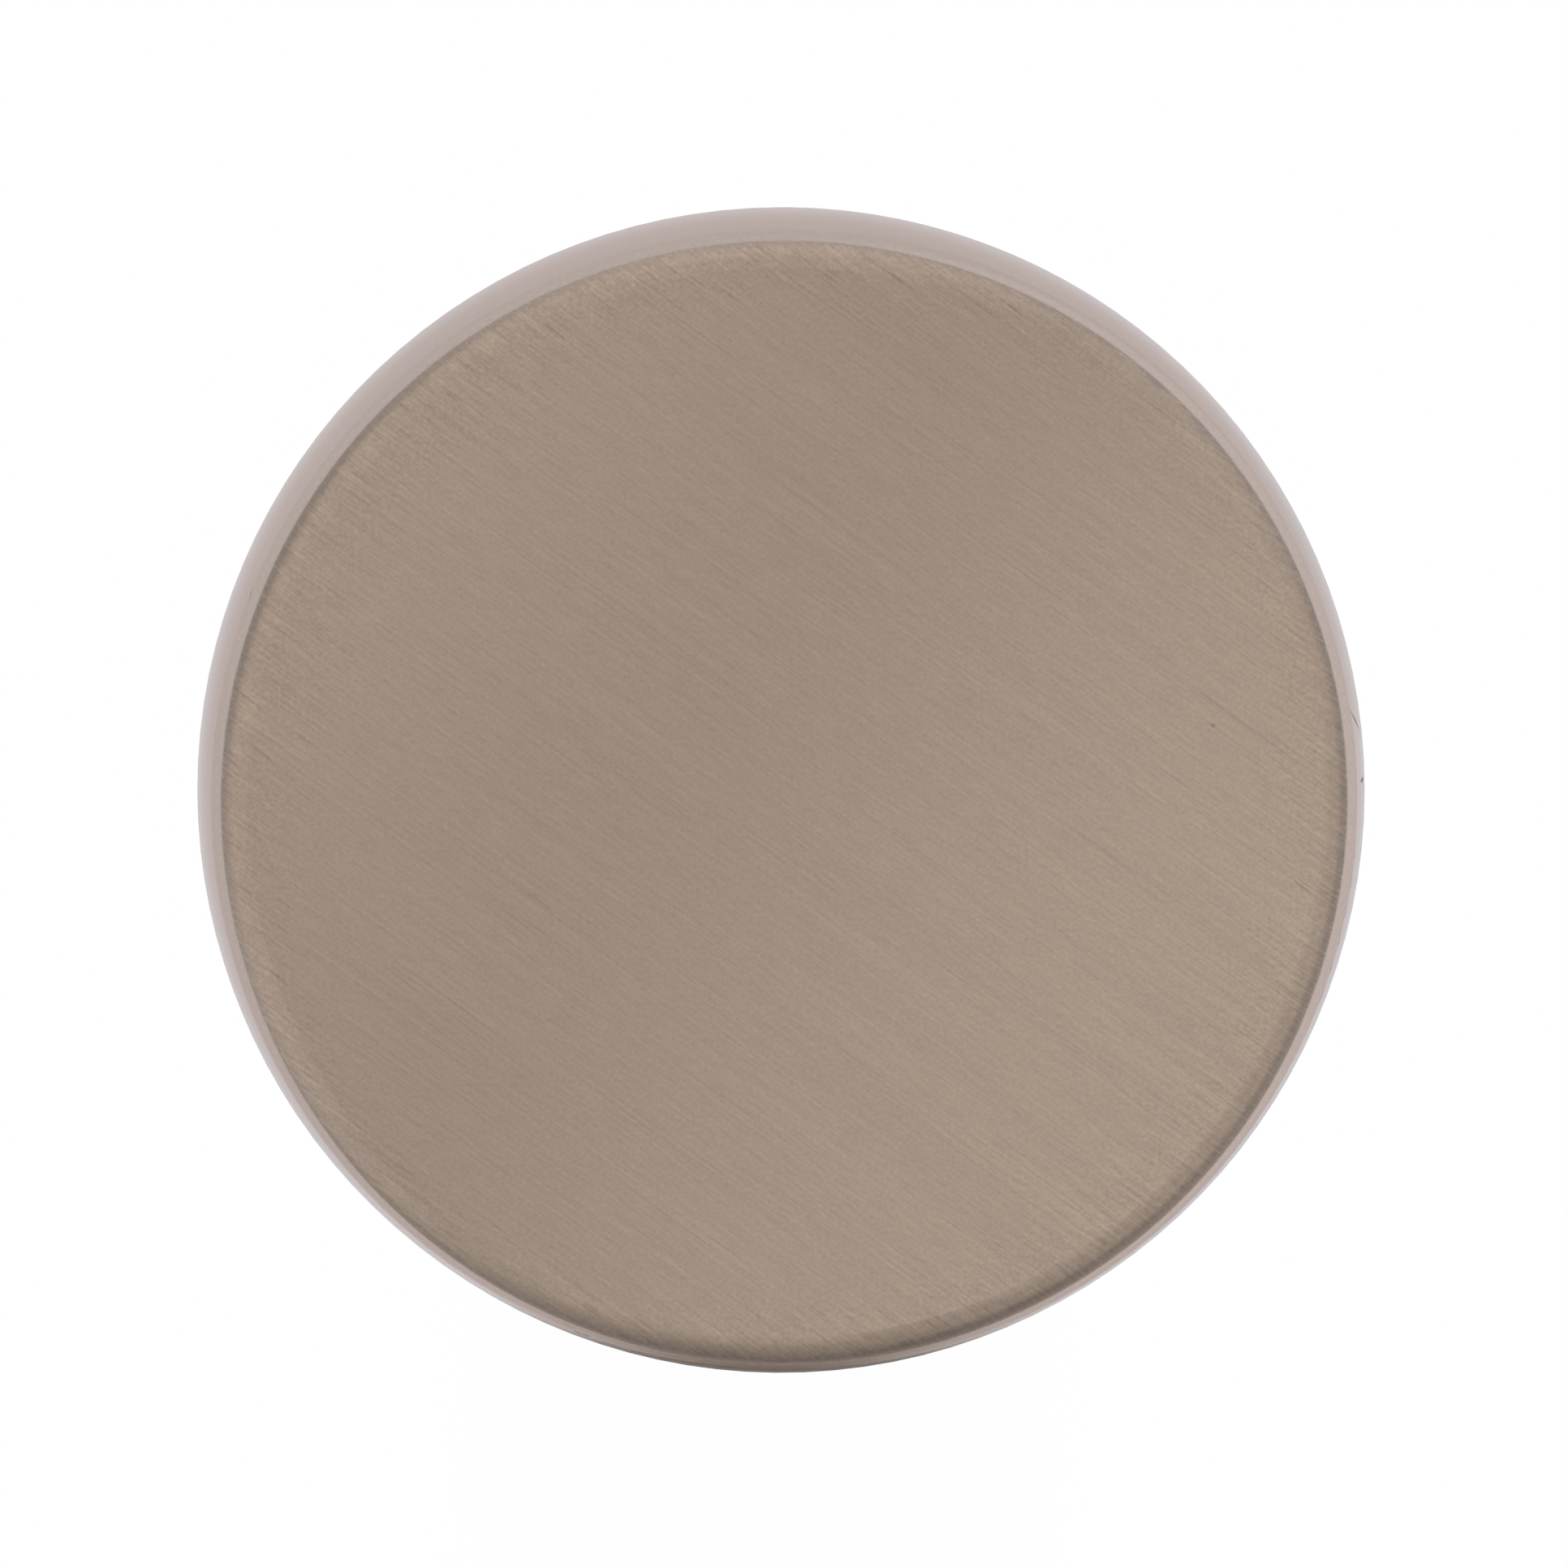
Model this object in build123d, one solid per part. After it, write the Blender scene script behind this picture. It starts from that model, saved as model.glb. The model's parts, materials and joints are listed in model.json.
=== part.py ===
from build123d import *
from math import radians, tan
import os

# Round, flat-faced cabinet knob: head, neck and base cast as one solid. Sizes are in millimetres.
# The origin is the middle of the seat, where the base meets the door.
# +Z runs along the knob's axis, from the door towards the hand.

# Head
head_diameter = 31.75      # widest part, at the back of the rim
projection = 25.4          # from the seat to the flat face
rim_thickness = 4.8        # from the face to the underside, at the rim
rim_land = 0.9             # upright strip at the back of the rim, before its back edge is rounded
rim_draw_in = 0.5          # how far the rim curves in from that strip up to the face
front_edge_radius = 1.0    # soft edge between the face and the rim
back_edge_radius = 0.8     # edge between the rim and the underside
underside_slope = 5.0      # degrees by which the underside falls from the rim to the neck

# Neck, which tapers from the base up to the underside of the head
neck_diameter = 9.5        # where the taper would meet the underside
cove_radius = 2.5          # hollow curve that carries the neck into the underside

# Base
base_diameter = 16.0       # foot that sits on the door
base_height = 1.6          # straight side of the foot
foot_bevel = 0.4           # lower edge of the foot

# Relief in the back of the base, so that only an outer ring touches the door
seat_width = 2.4           # width of that ring, with its bevel
relief_depth = 0.4

# Blind tapped hole for the screw that comes through the door
thread_diameter = 4.166    # major diameter of the thread
thread_length = 13.0       # threaded wall, past the countersunk mouth
mouth_diameter = 5.2       # countersink where the screw starts
mouth_angle = 90.0         # degrees, across the countersink
tap_drill_diameter = 3.45  # hole drilled before tapping
drill_run_out = 2.0        # drilled length past the last thread
drill_point_angle = 118.0  # degrees, across the tip of the drilled hole

head_radius = head_diameter / 2
base_radius = base_diameter / 2


def rounded(section, corner, radius):
    """The section with the corner at the given point rounded off."""
    vertex = section.vertices().sort_by_distance(corner)[0]
    return fillet(vertex, radius)


def knob_section():
    """Half section of the outside, with radius along X and height along Y."""
    neck_radius = neck_diameter / 2
    underside_height = projection - rim_thickness
    underside_fall = (head_radius - neck_radius) * tan(radians(underside_slope))
    neck_top = (neck_radius, underside_height - underside_fall)
    underside_edge = (head_radius, underside_height)
    land_top = (head_radius, underside_height + rim_land)
    face_edge = (head_radius - rim_draw_in, projection)

    back = Polyline(
        (0, projection),
        (0, 0),
        (base_radius - foot_bevel, 0),
        (base_radius, foot_bevel),
        (base_radius, base_height),
        neck_top,
        underside_edge,
        land_top,
    )
    rim = TangentArc(land_top, face_edge, tangent=(0, 1))
    face = Line(face_edge, (0, projection))
    section = rounded(make_face([back, rim, face]), neck_top, cove_radius)
    section = rounded(section, underside_edge, back_edge_radius)
    return rounded(section, face_edge, front_edge_radius)


def tapped_hole_section():
    """Half section of what is cut from the back: the relief, the countersink and the tapped hole."""
    relief_radius = base_radius - seat_width
    mouth_radius = mouth_diameter / 2
    thread_radius = thread_diameter / 2
    drill_radius = tap_drill_diameter / 2

    thread_start = relief_depth + (mouth_radius - thread_radius) / tan(radians(mouth_angle / 2))
    thread_end = thread_start + thread_length
    drill_end = thread_end + drill_run_out
    drill_tip = drill_end + drill_radius / tan(radians(drill_point_angle / 2))

    outline = Polyline(
        (0, 0),
        (relief_radius, 0),
        (relief_radius, relief_depth),
        (mouth_radius, relief_depth),
        (thread_radius, thread_start),
        (thread_radius, thread_end),
        (drill_radius, thread_end),
        (drill_radius, drill_end),
        (0, drill_tip),
        close=True,
    )
    return make_face(outline)


def turned(section):
    """Solid of revolution of a half section about the knob's axis."""
    return revolve(Plane.XZ * section, Axis.Z)


def knob():
    """The whole knob, with its back cut for the door and the screw."""
    return turned(knob_section()) - turned(tapped_hole_section())


os.makedirs("parts", exist_ok=True)
export_step(knob(), "parts/knob.step")
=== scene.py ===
"""Looks of a round cabinet knob in brushed satin nickel, in metres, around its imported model."""
import json
from math import cos, pi, radians, sin, tan

import bpy
from mathutils import Matrix, Vector


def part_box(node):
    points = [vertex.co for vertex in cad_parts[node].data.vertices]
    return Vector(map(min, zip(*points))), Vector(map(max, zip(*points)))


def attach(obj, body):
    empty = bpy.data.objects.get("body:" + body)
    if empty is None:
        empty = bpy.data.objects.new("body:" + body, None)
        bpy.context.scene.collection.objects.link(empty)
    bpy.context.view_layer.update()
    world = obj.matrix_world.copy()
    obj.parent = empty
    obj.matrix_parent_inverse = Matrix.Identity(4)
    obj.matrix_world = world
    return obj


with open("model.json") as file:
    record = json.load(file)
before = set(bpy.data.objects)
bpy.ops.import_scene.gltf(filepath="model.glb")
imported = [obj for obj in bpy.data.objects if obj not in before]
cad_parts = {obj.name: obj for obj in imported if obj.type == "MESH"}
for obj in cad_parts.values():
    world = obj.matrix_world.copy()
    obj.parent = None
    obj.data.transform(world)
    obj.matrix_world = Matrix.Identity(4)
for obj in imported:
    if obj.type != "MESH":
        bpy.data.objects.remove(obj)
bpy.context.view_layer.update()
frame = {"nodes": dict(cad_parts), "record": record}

MM = 0.001
INCH = 25.4 * MM
knob = frame["nodes"]["knob"]
lowest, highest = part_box("knob")
head_diameter = highest.x - lowest.x
face_height = highest.z

# The photograph, in its own pixels
PHOTO_SIDE = 1932
OUTLINE_DIAMETER = 1436.5
OUTLINE_CENTRE = (962.1, 971.6)

# The camera looks down on the face, a little from the top and the left of the picture
CAMERA_DISTANCE = 1.0
TILT_TO_TOP = radians(5.8)
TILT_TO_LEFT = radians(1.6)
OUTLINE_DEPTH = 4.1 * MM           # how far below the face the ring lies that makes the outline
OUTLINE_SHARE = 0.999              # width of that ring, as a share of the head's
SENSOR = 36.0

# Satin nickel
NICKEL = (0.50, 0.41, 0.345)
EDGE_TINT = (0.84, 0.77, 0.73)     # tint of what the metal reflects at a glancing angle
FACE_ROUGHNESS = (0.29, 0.33)
RIM_ROUGHNESS = (0.23, 0.25)
ANISOTROPY = 0.88
CROWN_SLOPE = radians(4.5)         # how far the face leans outwards near its edge

# Noise lies about its middle, and most of it in these ranges
NOISE_MIDDLE = 0.5
BAND_RANGE = (0.3, 0.7)
SATIN_RANGE = (-0.2, 0.2)          # counted from the middle

# Brush lines, which run straight across the face and end on its soft edge
BRUSH_ANGLE = radians(36.0)        # they run down to the right at this angle
BRUSHED_EDGE = 0.23 * MM           # how far below the face they end
BRUSHED_FADE = 0.08 * MM
BRUSHED_SPREAD = 0.35 * MM         # how far the ends of single lines stray from there
LINE_DEPTH = 0.004 * MM
# Three kinds: length, width and strength
HAIRS = (0.9 * MM, 0.08 * MM, 0.22)
LINES = (9.0 * MM, 0.09 * MM, 0.19)
BANDS = (22.0 * MM, 1.4 * MM, 0.05)
# Even grain between the lines, and alone on the rim, neck and base
SATIN_GRAIN = 0.11 * MM
SATIN_DETAIL = 2.0
SATIN_STRENGTH = 0.26
SATIN_RELIEF = 0.1                 # its depth away from the lines, as a share of theirs

# Zone beside the rim, where the lines are stronger, and which reaches further in by streaks
EDGE_GAIN = 1.7                    # how many times stronger they are there
EDGE_ZONE = (12.7 * MM, 14.9 * MM)
STREAK_SIZE = (2.2 * MM, 0.25 * MM)
EDGE_SPREAD = 150.0 * MM ** 2      # what a streak adds to the square of the distance from the axis
EDGE_LEAN = 0.16                   # how much further it reaches in where the lines end than beside them

# Dark lines of two kinds, the second beside the rim alone: length, width and darkness
SCORES = (7.0 * MM, 0.07 * MM, 0.08)
EDGE_SCORES = (1.1 * MM, 0.07 * MM, 0.14)
# Noise at which such a line starts, and at which it is darkest
SCORE_RANGE = (0.62, 0.74)
EDGE_SCORE_RANGE = (0.58, 0.70)

# Single scratches along the brush lines: middle on the face, length, width and darkness
SCRATCHES = [
    ((12.5 * MM, 2.1 * MM), 5.4 * MM, 0.07 * MM, 0.17),
    ((10.5 * MM, 0.7 * MM), 1.8 * MM, 0.06 * MM, 0.12),
    ((8.5 * MM, -1.2 * MM), 3.2 * MM, 0.06 * MM, 0.12),
    ((11.6 * MM, 2.1 * MM), 0.16 * MM, 0.12 * MM, 0.28),
]
# Nicks in the side of the rim, whose darkness is painted shade in their grooves: picture angle, depth below
# the face, lean, length, width and darkness
NICKS_WITH_PAINTED_SHADE = [
    (radians(7.8), 1.3 * MM, radians(30.0), 2.3 * MM, 0.10 * MM, 0.85),
    (radians(1.5), 1.9 * MM, 0.0, 1.1 * MM, 0.17 * MM, 0.85),
]
MARK_REACH = 1.0 * MM              # how far a mark is followed into the metal
MARK_CORE = 0.5                    # share of a mark that has its full darkness

# Joined faces, in the shading alone
SEAM_GAP = 0.001 * MM
CRISP_ANGLE = radians(22.0)        # above it an edge stays crisp; the facets of a rounding meet at less

# Thread of the tapped hole
PITCH = INCH / 32                  # 32 threads to the inch
CREST_WIDTH = PITCH / 8
ROOT_WIDTH = PITCH * 7 / 8
THREAD_MINOR_RADIUS = 3.45 * MM / 2
STEPS_PER_TURN = 48

# Studio light, warm overhead and darker in a belt along the horizon
SKY_LIGHT = 0.735
SKY_TINT = (1.03, 0.985, 0.93)
BELT_LIGHT = 0.46
BELT_TINT = (1.0, 0.97, 0.97)
BELT_TOP = radians(13.0)
BELT_FADE_TOP = radians(32.0)
# Patches of that light: picture angle and height in degrees, reach in degrees, added light
PATCHES = [
    (272, 12, 39, -0.17),
    (330, 14, 26, 0.05),
    (290, 30, 45, -0.07),
    (90, 12, 40, 0.27),
    (40, 12, 32, 0.14),
    (125, 10, 26, 0.10),
    (210, 14, 30, 0.20),
    (270, 48, 28, -0.15),
    (322, 75, 17, 0.21),
]
# Dark gap between two soft lights overhead, square to the brush lines
GAP_SIDE = radians(2.7)            # how far its middle lies along the lines from straight above
GAP_HALF = radians(5.0)
GAP_ENDS = (radians(45.0), radians(65.0))
GAP_DEPTH = 0.22

# White floor, which ends below the picture, and the low lamp that lights it.
# Between two distances to the right of the knob's axis the floor's colour gets a little lighter: painted
# light, which the rim reflects.
FLOOR_WHITE_AND_PAINTED_LIGHT = (0.42, 0.46)
PAINTED_LIGHT_RIGHT = (20.0 * MM, 42.0 * MM)
FLOOR_SIZE = 0.56
FLOOR_BELOW = 0.08
FLOOR_DROP = 0.05 * MM             # how far it lies under the seat, so that the two do not share a plane
LAMP_ELEVATION = radians(18.0)
LAMP_SOFTNESS = radians(14.0)
LAMP_STRENGTH = 18.0
LAMP_TINT = (0.82, 0.88, 1.0)
SHADOW_SHARE = 0.015               # how much of its own shading the floor shows to the camera


def add_node(tree, kind, settings=None, inputs=None):
    """A new node with its settings, and its inputs set to values or linked to other nodes' outputs."""
    node = tree.nodes.new(kind)
    for name, value in (settings or {}).items():
        setattr(node, name, value)
    for name, value in (inputs or {}).items():
        if isinstance(value, bpy.types.NodeSocket):
            tree.links.new(value, node.inputs[name])
        else:
            node.inputs[name].default_value = value
    return node


def calculate(tree, operation, *values):
    """Result of a math node on numbers or sockets."""
    return add_node(tree, "ShaderNodeMath", {"operation": operation}, dict(enumerate(values))).outputs[0]


def weighted_sum(tree, parts):
    """Sum of sockets, each times its weight."""
    total = 0.0
    for socket, weight in parts:
        total = calculate(tree, "MULTIPLY_ADD", socket, weight, total)
    return total


def centred(tree, noise):
    """Noise shifted so that it lies evenly about 0."""
    return calculate(tree, "SUBTRACT", noise, NOISE_MIDDLE)


def dot_product(tree, first, second):
    """Dot product of two vectors or sockets."""
    settings = {"operation": "DOT_PRODUCT"}
    return add_node(tree, "ShaderNodeVectorMath", settings, {0: first, 1: second}).outputs["Value"]


def ramp(tree, value, from_low, from_high, to_low=0.0, to_high=1.0):
    """Value carried smoothly from one range to another."""
    inputs = {
        "Value": value,
        "From Min": from_low,
        "From Max": from_high,
        "To Min": to_low,
        "To Max": to_high,
    }
    settings = {"interpolation_type": "SMOOTHSTEP"}
    return add_node(tree, "ShaderNodeMapRange", settings, inputs).outputs["Result"]


def blend_numbers(tree, share, first, second):
    """First number where the share is 0, second where it is 1."""
    inputs = {"Factor": share, "A": first, "B": second}
    return add_node(tree, "ShaderNodeMix", {"data_type": "FLOAT"}, inputs).outputs["Result"]


def blend_vectors(tree, share, first, second):
    """First vector where the share is 0, second where it is 1."""
    inputs = {"Factor": share, 4: first, 5: second}
    return add_node(tree, "ShaderNodeMix", {"data_type": "VECTOR"}, inputs).outputs[1]


def scaled(tree, vector, factor):
    """A vector or a colour times a number."""
    inputs = {0: vector, "Scale": factor}
    return add_node(tree, "ShaderNodeVectorMath", {"operation": "SCALE"}, inputs).outputs[0]


def counted_from(tree, place, middle, turn, sizes):
    """Place counted from a middle along turned axes, in the given size on each of them."""
    inputs = {"Vector": place, "Location": middle, "Rotation": turn, "Scale": sizes}
    return add_node(tree, "ShaderNodeMapping", {"vector_type": "TEXTURE"}, inputs).outputs[0]


def grain(tree, flat, length, width):
    """Noise drawn out along the brush lines: grains of about that length and width."""
    counted = counted_from(tree, flat, (0, 0, 0), (0, 0, -BRUSH_ANGLE), (length, width, 1.0))
    return add_node(tree, "ShaderNodeTexNoise", None, {"Vector": counted, "Scale": 1.0}).outputs[0]


def speckle(tree, place, size):
    """Even noise of about that size."""
    inputs = {"Vector": place, "Scale": 1 / size, "Detail": SATIN_DETAIL}
    return add_node(tree, "ShaderNodeTexNoise", None, inputs).outputs[0]


def mark(tree, place, middle, turn, sizes, darkness):
    """A single mark of those sizes along turned axes: its darkness in the middle, and 0 away from it."""
    counted = counted_from(tree, place, middle, turn, tuple(size / 2 for size in sizes))
    away = add_node(tree, "ShaderNodeVectorMath", {"operation": "LENGTH"}, {0: counted}).outputs["Value"]
    return ramp(tree, away, MARK_CORE, 1.0, darkness, 0.0)


def scratches_and_nick_shade(tree, place):
    """Darkness of the scratches on the face, and painted shade of the nicks in the side of the rim."""
    darkest = 0.0
    for (x, y), length, width, darkness in SCRATCHES:
        sizes = (length, width, MARK_REACH)
        scratch = mark(tree, place, (x, y, face_height), (0, 0, -BRUSH_ANGLE), sizes, darkness)
        darkest = calculate(tree, "MAXIMUM", scratch, darkest)
    for angle, depth, lean, length, width, darkness in NICKS_WITH_PAINTED_SHADE:
        middle = (head_diameter / 2 * cos(angle), head_diameter / 2 * sin(angle), face_height - depth)
        # the nick's darkness is painted shade in its groove, on the colour and the reflection alike
        nick = mark(tree, place, middle, (-lean, 0, angle), (MARK_REACH, width, length), darkness)
        darkest = calculate(tree, "MAXIMUM", nick, darkest)
    return darkest


def new_material(name):
    """An empty node material, with its tree and its output node."""
    material = bpy.data.materials.new(name)
    material.use_nodes = True
    material.node_tree.nodes.clear()
    output = material.node_tree.nodes.new("ShaderNodeOutputMaterial")
    return material, material.node_tree, output


def satin_nickel():
    """Nickel plate with straight brush lines across the face and a smooth satin rim, neck and base."""
    material, tree, output = new_material("satin_nickel")
    place = add_node(tree, "ShaderNodeTexCoord").outputs["Object"]
    height = add_node(tree, "ShaderNodeSeparateXYZ", None, {0: place}).outputs["Z"]
    settings = {"operation": "MULTIPLY"}
    flat = add_node(tree, "ShaderNodeVectorMath", settings, {0: place, 1: (1, 1, 0)}).outputs[0]
    from_axis = dot_product(tree, flat, flat)

    # Where the brush lines are
    line_ends = centred(tree, grain(tree, flat, *HAIRS[:2]))
    brushed_place = calculate(tree, "MULTIPLY_ADD", line_ends, BRUSHED_SPREAD, height)
    brushed_low = face_height - BRUSHED_EDGE - BRUSHED_FADE / 2
    brushed = ramp(tree, brushed_place, brushed_low, brushed_low + BRUSHED_FADE)

    # Zone beside the rim
    streaks = centred(tree, grain(tree, flat, *STREAK_SIZE))
    along = dot_product(tree, flat, (cos(BRUSH_ANGLE), -sin(BRUSH_ANGLE), 0.0))
    at_ends = calculate(tree, "MULTIPLY", along, along)
    reach = [(streaks, EDGE_SPREAD), (from_axis, 1 - EDGE_LEAN / 2), (at_ends, EDGE_LEAN)]
    edge = ramp(tree, weighted_sum(tree, reach), *(radius ** 2 for radius in EDGE_ZONE))

    # Light and dark lines
    satin = centred(tree, speckle(tree, place, SATIN_GRAIN))
    parts = [(satin, SATIN_STRENGTH)]
    for length, width, strength in (HAIRS, LINES, BANDS):
        parts.append((centred(tree, grain(tree, flat, length, width)), strength))
    edge_gain = calculate(tree, "MULTIPLY_ADD", edge, EDGE_GAIN - 1, 1.0)
    lines = calculate(tree, "MULTIPLY", weighted_sum(tree, parts), edge_gain)
    length, width, darkness = SCORES
    scores = ramp(tree, grain(tree, flat, length, width), *SCORE_RANGE, 0.0, darkness)
    length, width, darkness = EDGE_SCORES
    edge_darkness = calculate(tree, "MULTIPLY", edge, darkness)
    edge_scores = ramp(tree, grain(tree, flat, length, width), *EDGE_SCORE_RANGE, 0.0, edge_darkness)
    scored = calculate(tree, "SUBTRACT", lines, calculate(tree, "MAXIMUM", scores, edge_scores))

    # Colour
    pattern = blend_numbers(tree, brushed, calculate(tree, "MULTIPLY", satin, SATIN_STRENGTH), scored)
    # Marks darken the colour and the reflection's tint: the scratches are wear, the nicks' darkness is
    # painted shade
    unmarked_and_unshaded = calculate(tree, "SUBTRACT", 1.0, scratches_and_nick_shade(tree, place))
    shade = calculate(tree, "MULTIPLY", calculate(tree, "ADD", pattern, 1.0), unmarked_and_unshaded)
    colour = scaled(tree, NICKEL, shade)
    edge_tint = scaled(tree, EDGE_TINT, unmarked_and_unshaded)

    # Gloss
    face_roughness = ramp(tree, grain(tree, flat, *BANDS[:2]), *BAND_RANGE, *FACE_ROUGHNESS)
    rim_roughness = ramp(tree, satin, *SATIN_RANGE, *RIM_ROUGHNESS)
    roughness = blend_numbers(tree, brushed, rim_roughness, face_roughness)
    across = {"X": sin(BRUSH_ANGLE), "Y": cos(BRUSH_ANGLE)}
    brush_tangent = add_node(tree, "ShaderNodeCombineXYZ", None, across).outputs[0]
    settings = {"direction_type": "RADIAL", "axis": "Z"}
    round_tangent = add_node(tree, "ShaderNodeTangent", settings).outputs[0]
    tangent = blend_vectors(tree, brushed, round_tangent, brush_tangent)

    # Crown of the face, and depth of the lines
    crown_height = calculate(tree, "MULTIPLY", from_axis, -CROWN_SLOPE / head_diameter)
    crown = add_node(tree, "ShaderNodeBump", None, {
        "Strength": 1.0,
        "Distance": 1.0,
        "Height": crown_height,
    })
    relief = blend_numbers(tree, brushed, calculate(tree, "MULTIPLY", satin, SATIN_RELIEF), lines)
    bump = add_node(tree, "ShaderNodeBump", None, {
        "Strength": 1.0,
        "Distance": LINE_DEPTH,
        "Height": relief,
        "Normal": crown.outputs[0],
    })

    shader = add_node(tree, "ShaderNodeBsdfPrincipled", None, {
        "Base Color": colour,
        "Metallic": 1.0,
        "Roughness": roughness,
        "Specular Tint": edge_tint,
        "Anisotropic": ANISOTROPY,
        "Tangent": tangent,
        "Normal": bump.outputs[0],
    })
    tree.links.new(shader.outputs[0], output.inputs["Surface"])
    return material


def smooth_joins(piece):
    """Joins the faces at their seams for the shading, so that only real edges show."""
    weld = piece.modifiers.new("seams", "WELD")
    weld.merge_threshold = SEAM_GAP
    edges = piece.modifiers.new("crisp edges", "EDGE_SPLIT")
    edges.split_angle = CRISP_ANGLE
    edges.use_edge_sharp = False
    normals = piece.modifiers.new("even shading", "WEIGHTED_NORMAL")
    normals.mode = "FACE_AREA_WITH_ANGLE"  # the same however the faces are cut into triangles
    normals.keep_sharp = True


def thread(material):
    """Ridge of the internal thread, wound along the wall of the tapped hole."""
    hole = next(mount for mount in frame["record"]["mounts"] if mount["name"] == "screw_hole")
    wall_radius = hole["dims"]["r_mm"] * MM
    length = hole["dims"]["length_mm"] * MM
    start = hole["pos_m"][2] - length / 2 + ROOT_WIDTH / 2
    section = [
        (wall_radius, -ROOT_WIDTH / 2),
        (THREAD_MINOR_RADIUS, -CREST_WIDTH / 2),
        (THREAD_MINOR_RADIUS, CREST_WIDTH / 2),
        (wall_radius, ROOT_WIDTH / 2),
    ]
    turns = (length - ROOT_WIDTH) / PITCH
    steps = int(turns * STEPS_PER_TURN)
    points = []
    for step in range(steps + 1):
        angle = 2 * pi * step / STEPS_PER_TURN
        middle = start + PITCH * step / STEPS_PER_TURN
        points += [(r * cos(angle), r * sin(angle), middle + offset) for r, offset in section]
    count = len(section)
    faces = [tuple(reversed(range(count))), tuple(range(steps * count, steps * count + count))]
    for step in range(steps):
        low, high = step * count, (step + 1) * count
        for corner in range(count):
            after = (corner + 1) % count
            faces.append((low + corner, low + after, high + after, high + corner))
    mesh = bpy.data.meshes.new("screw_thread")
    mesh.from_pydata(points, [], faces)
    mesh.materials.append(material)
    piece = bpy.data.objects.new("screw_thread", mesh)
    bpy.context.scene.collection.objects.link(piece)
    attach(piece, "root")


def white_floor():
    """White floor with painted light, its colour a little lighter to the right, which shows the camera little
    of its own shading.
    """
    material, tree, output = new_material("floor")
    place = add_node(tree, "ShaderNodeTexCoord").outputs["Object"]
    to_right = add_node(tree, "ShaderNodeSeparateXYZ", None, {0: place}).outputs["X"]
    # painted light: the floor's colour rises to the right of the knob
    grey_with_painted_light = ramp(tree, to_right, *PAINTED_LIGHT_RIGHT, *FLOOR_WHITE_AND_PAINTED_LIGHT)
    own = add_node(tree, "ShaderNodeBsdfDiffuse", None, {"Color": grey_with_painted_light}).outputs[0]
    white = add_node(tree, "ShaderNodeEmission").outputs[0]
    seen = add_node(tree, "ShaderNodeLightPath").outputs["Is Camera Ray"]
    share = calculate(tree, "MULTIPLY", seen, 1 - SHADOW_SHARE)
    mixed = add_node(tree, "ShaderNodeMixShader", None, {0: share, 1: own, 2: white})
    tree.links.new(mixed.outputs[0], output.inputs["Surface"])

    half = FLOOR_SIZE / 2
    low, high = -FLOOR_BELOW, FLOOR_SIZE - FLOOR_BELOW
    places = [(-half, low), (half, low), (half, high), (-half, high)]
    corners = [(x, y, -FLOOR_DROP) for x, y in places]
    mesh = bpy.data.meshes.new("floor")
    mesh.from_pydata(corners, [], [(0, 1, 2, 3)])
    mesh.materials.append(material)
    floor = bpy.data.objects.new("floor", mesh)
    bpy.context.scene.collection.objects.link(floor)
    return floor


def floor_lamp(floor):
    """Low lamp from the top of the picture: it lights the floor alone, and the knob's shadow falls there."""
    data = bpy.data.lights.new("floor lamp", "SUN")
    data.energy = LAMP_STRENGTH
    data.color = LAMP_TINT
    data.angle = LAMP_SOFTNESS
    lamp = bpy.data.objects.new("floor lamp", data)
    lamp.rotation_euler = (LAMP_ELEVATION - pi / 2, 0, 0)
    bpy.context.scene.collection.objects.link(lamp)
    lit = bpy.data.collections.new("lit by the floor lamp")
    lit.objects.link(floor)
    lamp.light_linking.receiver_collection = lit


def direction_at(picture_angle, height):
    """Direction at an angle round the picture and a height above the horizon, both in degrees."""
    turn, rise = radians(picture_angle), radians(height)
    return Vector((cos(rise) * cos(turn), cos(rise) * sin(turn), sin(rise)))


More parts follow.
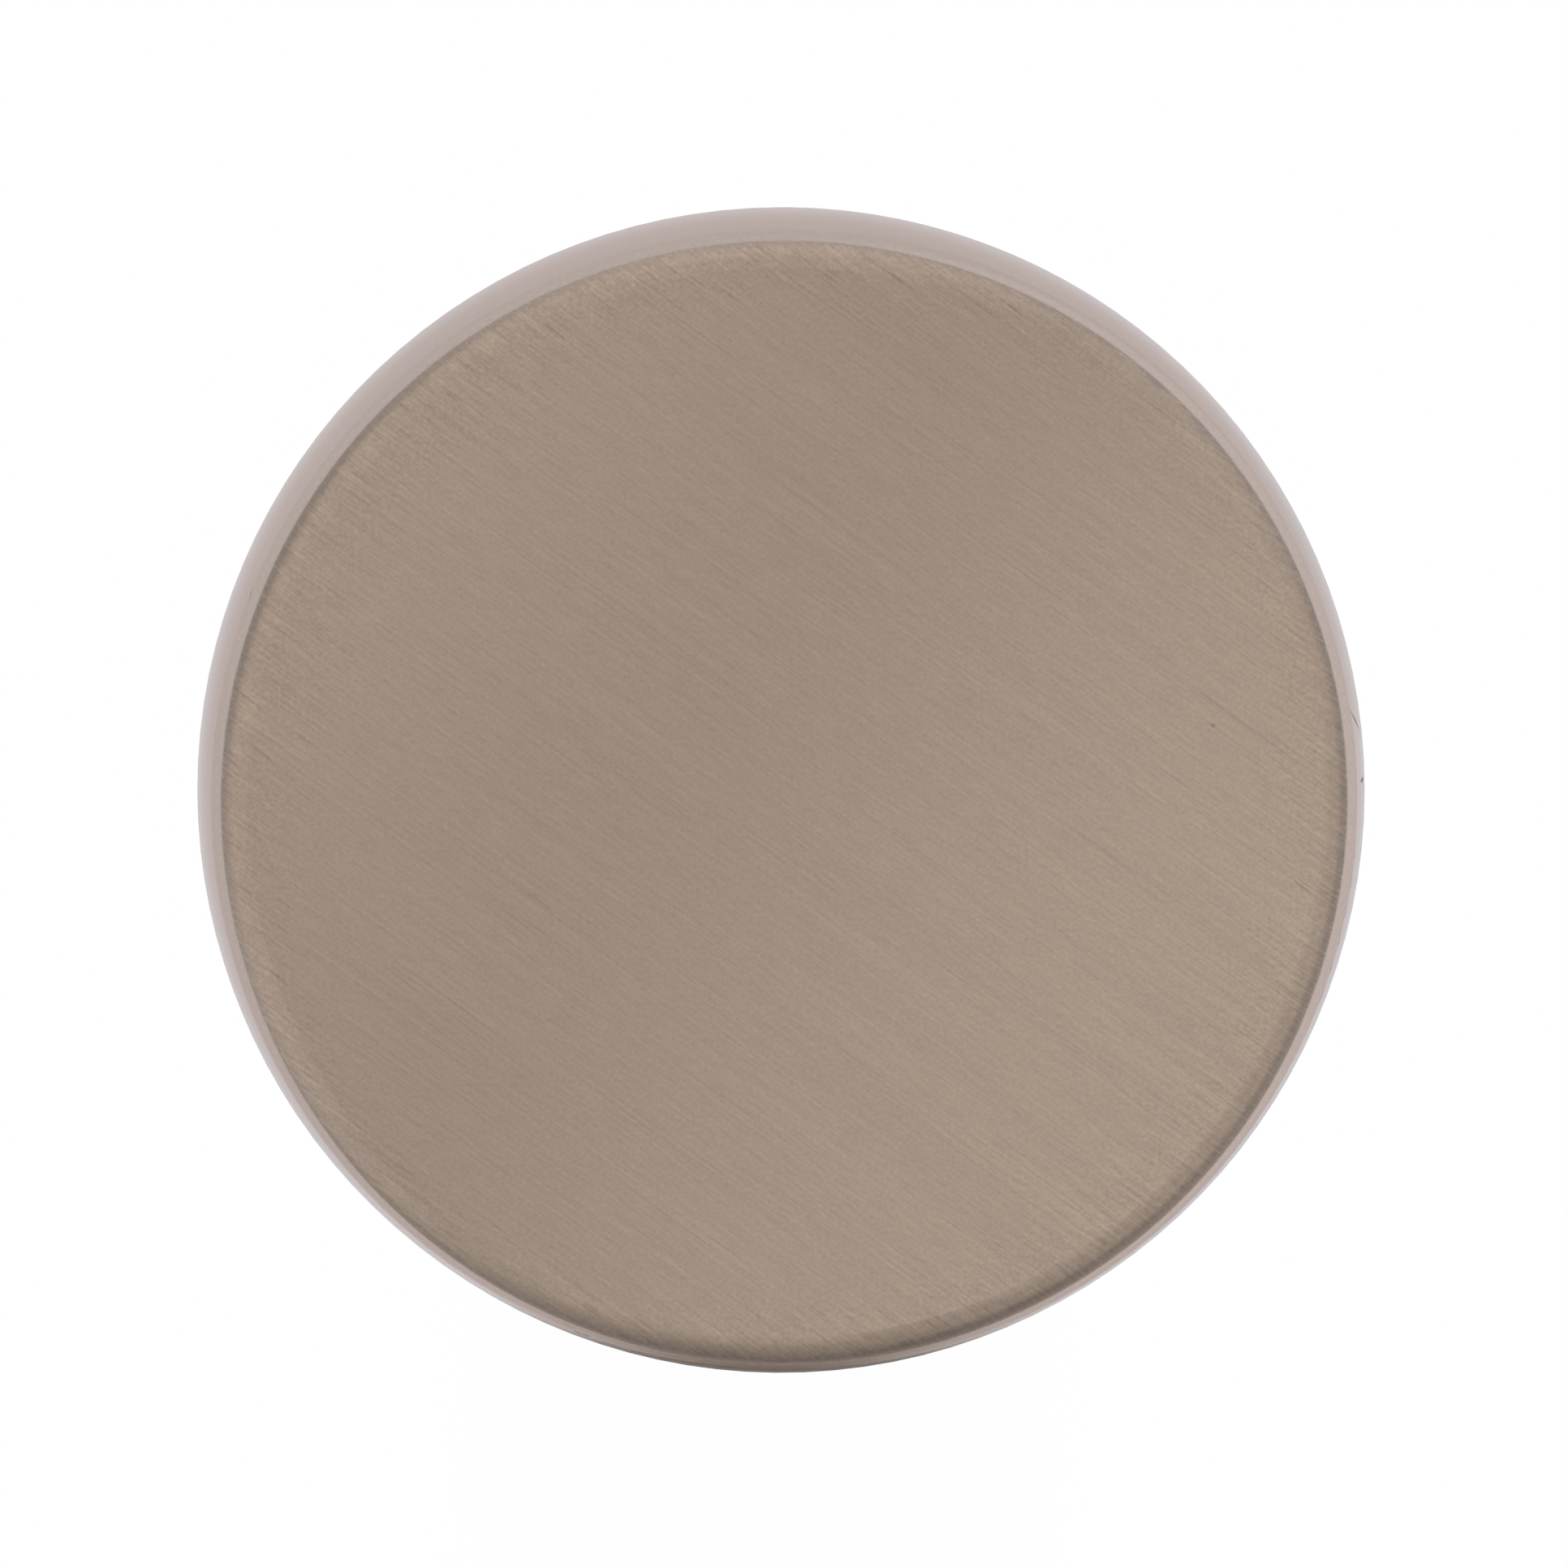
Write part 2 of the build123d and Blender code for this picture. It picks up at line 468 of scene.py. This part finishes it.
def studio():
    """Soft light from all round, with a dark belt along the horizon, and white where the camera looks."""
    world = bpy.data.worlds.new("studio")
    bpy.context.scene.world = world
    world.use_nodes = True
    tree = world.node_tree
    tree.nodes.clear()
    output = tree.nodes.new("ShaderNodeOutputWorld")
    direction = add_node(tree, "ShaderNodeTexCoord").outputs["Generated"]

    rise = add_node(tree, "ShaderNodeSeparateXYZ", None, {0: direction}).outputs["Z"]
    overhead = ramp(tree, rise, sin(BELT_TOP), sin(BELT_FADE_TOP))
    tint = blend_vectors(tree, overhead, BELT_TINT, SKY_TINT)
    level = blend_numbers(tree, overhead, BELT_LIGHT, SKY_LIGHT)
    for picture_angle, height, reach, added in PATCHES:
        facing = dot_product(tree, direction, direction_at(picture_angle, height))
        patch = ramp(tree, facing, cos(radians(reach)), 1.0, 0.0, added)
        level = calculate(tree, "ADD", level, patch)

    side = dot_product(tree, direction, (cos(BRUSH_ANGLE), -sin(BRUSH_ANGLE), 0.0))
    off_gap = calculate(tree, "ABSOLUTE", calculate(tree, "SUBTRACT", side, sin(GAP_SIDE)))
    gap_depth = ramp(tree, rise, sin(GAP_ENDS[0]), sin(GAP_ENDS[1]), 0.0, GAP_DEPTH)
    gap = ramp(tree, off_gap, 0.0, sin(GAP_HALF), gap_depth, 0.0)
    level = calculate(tree, "SUBTRACT", level, gap)

    sky = add_node(tree, "ShaderNodeBackground", None, {"Color": tint, "Strength": level}).outputs[0]
    inputs = {"Color": (1, 1, 1, 1), "Strength": 1.0}
    white = add_node(tree, "ShaderNodeBackground", None, inputs).outputs[0]
    seen = add_node(tree, "ShaderNodeLightPath").outputs["Is Camera Ray"]
    mixed = add_node(tree, "ShaderNodeMixShader", None, {0: seen, 1: sky, 2: white})
    tree.links.new(mixed.outputs[0], output.inputs["Surface"])


def camera():
    """Camera with the picture's up, and with the head as large and as far off centre as in the photograph."""
    data = bpy.data.cameras.new("camera")
    data.sensor_width = SENSOR
    outline_width = OUTLINE_SHARE * head_diameter
    data.lens = SENSOR * OUTLINE_DIAMETER / PHOTO_SIDE * CAMERA_DISTANCE / outline_width
    data.shift_x = (PHOTO_SIDE / 2 - OUTLINE_CENTRE[0]) / PHOTO_SIDE
    data.shift_y = (OUTLINE_CENTRE[1] - PHOTO_SIDE / 2) / PHOTO_SIDE
    back = Vector((-tan(TILT_TO_LEFT), tan(TILT_TO_TOP), 1.0)).normalized()
    right = Vector((0, 1, 0)).cross(back).normalized()
    up = back.cross(right)
    turn = Matrix((right, up, back)).transposed()
    target = Vector((0, 0, face_height - OUTLINE_DEPTH))
    piece = bpy.data.objects.new("camera", data)
    piece.matrix_world = Matrix.Translation(target + back * CAMERA_DISTANCE) @ turn.to_4x4()
    bpy.context.scene.collection.objects.link(piece)
    bpy.context.scene.camera = piece


nickel = satin_nickel()
knob.data.materials.clear()
knob.data.materials.append(nickel)
smooth_joins(knob)
thread(nickel)
floor = white_floor()
floor_lamp(floor)
studio()
camera()
bpy.context.scene.view_settings.view_transform = "Standard"
